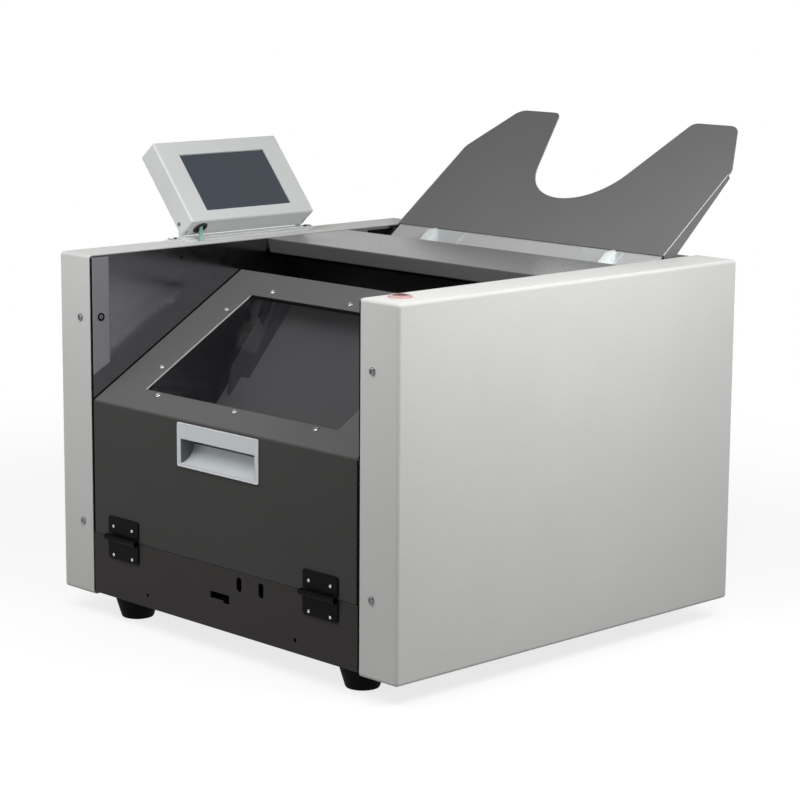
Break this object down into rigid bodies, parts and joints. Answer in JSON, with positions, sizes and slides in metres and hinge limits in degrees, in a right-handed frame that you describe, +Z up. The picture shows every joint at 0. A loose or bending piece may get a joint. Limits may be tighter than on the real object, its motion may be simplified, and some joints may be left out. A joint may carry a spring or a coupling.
{
  "type": "staple and fold machine",
  "caption": "Desk booklet maker: sheets slide from a fork tray down a sloping feed plate, are stapled, folded by a knife between rollers and collected behind a windowed front door.",
  "frame": {"origin": "middle of the side covers' footprint, on the bench plane under the rubber feet", "axes": "+X to the right seen from the front, +Y from the front door to the fork tray, +Z up"},
  "size_m": [0.6299, 0.6818, 0.5715],
  "materials": {
    "cover_paint": "fine textured light grey powder paint",
    "door_paint": "dark grey semi-gloss paint",
    "inner_paint": "glossy black paint",
    "delivery_paint": "satin mid grey paint",
    "plate_paint": "satin grey paint",
    "tray_paint": "matt dark grey paint",
    "zinc_steel": "zinc-plated steel",
    "black_steel": "black oxide steel",
    "foot_rubber": "moulded black rubber",
    "roller_rubber": "ground black rubber",
    "handle_plastic": "moulded light grey plastic",
    "box_plastic": "moulded light grey plastic",
    "screen_glass": "dark touch screen under a clear front",
    "window_acrylic": "smoke tinted clear acrylic",
    "black_plastic": "moulded black plastic",
    "motor_black": "black enamelled motor case",
    "gear_plastic": "natural acetal",
    "bush_brass": "sintered bronze",
    "cable_teal": "teal cable sheath",
    "bezel_red": "dark red moulded plastic",
    "cap_red": "pale red moulded plastic",
    "rocker_red": "dark moulded plastic",
    "supply_case": "perforated supply case, at the density of its filled volume",
    "board": "green circuit board"
  },
  "bodies": {
    "frame": {"left_side_cover": "cover_paint", "right_side_cover": "cover_paint", "left_side_plate": "inner_paint", "right_side_plate": "inner_paint", "base_plate": "plate_paint", "lower_front_panel": "door_paint", "rear_cover": "door_paint", "cross_cover": "door_paint", "rubber_feet": "foot_rubber", "cover_screws": "zinc_steel", "feed_plate": "plate_paint", "lower_guide_plate": "plate_paint", "paper_tray": "tray_paint", "tie_bars": "inner_paint", "delivery_plate": "delivery_paint", "booklet_guides": "delivery_paint", "hinge_frame_leaves": "black_steel", "hinge_pins": "black_steel", "hinge_frame_screws": "zinc_steel", "left_stapler_head": "black_plastic", "right_stapler_head": "black_plastic", "staple_cartridges": "black_plastic", "clincher_bar": "zinc_steel", "knife_guides": "zinc_steel", "knife_motor": "motor_black", "roller_bushes": "bush_brass", "drive_motor": "motor_black", "stop_rails": "zinc_steel", "stop_motor": "motor_black", "panel_bracket": "cover_paint", "panel_cable": "cable_teal", "button_bezel": "bezel_red", "power_inlet": "black_plastic", "power_supply": "supply_case", "control_board": "board"},
    "door": {"front_door": "door_paint", "window_pane": "window_acrylic", "window_screws": "zinc_steel", "door_handle": "handle_plastic", "hinge_door_leaves": "black_steel", "hinge_door_screws": "zinc_steel"},
    "panel": {"control_box": "box_plastic", "touch_screen": "screen_glass", "panel_pivot_screws": "zinc_steel"},
    "start_button": {"button_cap": "cap_red"},
    "rocker": {"power_rocker": "rocker_red"},
    "left_guide": {"left_paper_guide": "zinc_steel"},
    "right_guide": {"right_paper_guide": "zinc_steel"},
    "guide_gear": {"guide_pinion": "gear_plastic"},
    "left_driver": {"left_staple_driver": "zinc_steel"},
    "right_driver": {"right_staple_driver": "zinc_steel"},
    "knife": {"fold_knife": "zinc_steel"},
    "knife_drive": {"knife_shaft": "zinc_steel"},
    "lower_roller": {"lower_fold_roller": "roller_rubber", "lower_roller_gear": "gear_plastic"},
    "upper_roller": {"upper_fold_roller": "roller_rubber", "upper_roller_gear": "gear_plastic"},
    "pinion": {"motor_pinion": "zinc_steel"},
    "stop": {"stop_gate": "plate_paint"},
    "screw": {"stop_screw": "zinc_steel"}
  },
  "joints": [
    {"name": "door_hinge", "type": "hinge", "parent": "frame", "child": "door", "pos_m": [0, -0.2765, 0.103], "axis": [1, 0, 0], "range_deg": [0, 90]},
    {"name": "panel_tilt", "type": "hinge", "parent": "frame", "child": "panel", "pos_m": [-0.27048, -0.0065, 0.45041], "axis": [0, 1, 0], "range_deg": [-30, 35], "deforming": ["panel_cable"]},
    {"name": "start_button_press", "type": "slide", "parent": "frame", "child": "start_button", "axis": [0, 0, -1], "range_m": [0, 0.0025], "stiffness_N_per_m": 400, "springref_m": -0.002},
    {"name": "power_rocker_tilt", "type": "hinge", "parent": "frame", "child": "rocker", "pos_m": [0.15, 0.268, 0.104], "axis": [1, 0, 0], "range_deg": [0, 20]},
    {"name": "left_guide_slide", "type": "slide", "parent": "frame", "child": "left_guide", "axis": [1, 0, 0], "range_m": [-0.016, 0.074]},
    {"name": "right_guide_slide", "type": "slide", "parent": "frame", "child": "right_guide", "axis": [1, 0, 0], "range_m": [-0.074, 0.016]},
    {"name": "guide_pinion_spin", "type": "hinge", "parent": "frame", "child": "guide_gear", "pos_m": [0, 0.18914, 0.40286], "axis": [0, -0.6039, 0.7971], "range_deg": [-710, 155]},
    {"name": "left_driver_stroke", "type": "slide", "parent": "frame", "child": "left_driver", "axis": [0, 0.6039, -0.7971], "range_m": [0, 0.01], "stiffness_N_per_m": 400, "springref_m": -0.004},
    {"name": "right_driver_stroke", "type": "slide", "parent": "frame", "child": "right_driver", "axis": [0, 0.6039, -0.7971], "range_m": [0, 0.01]},
    {"name": "knife_stroke", "type": "slide", "parent": "frame", "child": "knife", "axis": [0, -0.6039, 0.7971], "range_m": [0, 0.032]},
    {"name": "knife_shaft_turn", "type": "hinge", "parent": "frame", "child": "knife_drive", "pos_m": [0, 0.07514, 0.1973], "axis": [1, 0, 0], "range_deg": [-1, 155]},
    {"name": "lower_roller_spin", "type": "hinge", "parent": "frame", "child": "lower_roller", "pos_m": [0, -0.00443, 0.30513], "axis": [1, 0, 0], "continuous": true},
    {"name": "upper_roller_spin", "type": "hinge", "parent": "frame", "child": "upper_roller", "pos_m": [0, 0.02474, 0.32723], "axis": [1, 0, 0], "continuous": true},
    {"name": "motor_pinion_spin", "type": "hinge", "parent": "frame", "child": "pinion", "pos_m": [0, -0.02972, 0.31579], "axis": [1, 0, 0], "continuous": true},
    {"name": "stop_slide", "type": "slide", "parent": "frame", "child": "stop", "axis": [0, 0.7971, 0.6039], "range_m": [0, 0.19]},
    {"name": "stop_screw_spin", "type": "hinge", "parent": "frame", "child": "screw", "pos_m": [0, -0.1286, 0.1433], "axis": [0, 0.7971, 0.6039], "range_deg": [-20, 8590]}
  ],
  "couplings": [
    {"joint": "right_guide_slide", "follows": "left_guide_slide", "ratio": -1},
    {"joint": "guide_pinion_spin", "follows": "left_guide_slide", "rad_per_m": -166.67},
    {"joint": "right_driver_stroke", "follows": "left_driver_stroke", "ratio": 1},
    {"joint": "knife_shaft_turn", "follows": "knife_stroke", "rad_per_m": 83.333},
    {"joint": "upper_roller_spin", "follows": "lower_roller_spin", "ratio": -1},
    {"joint": "motor_pinion_spin", "follows": "lower_roller_spin", "ratio": -2},
    {"joint": "stop_screw_spin", "follows": "stop_slide", "rad_per_m": 785.4}
  ]
}
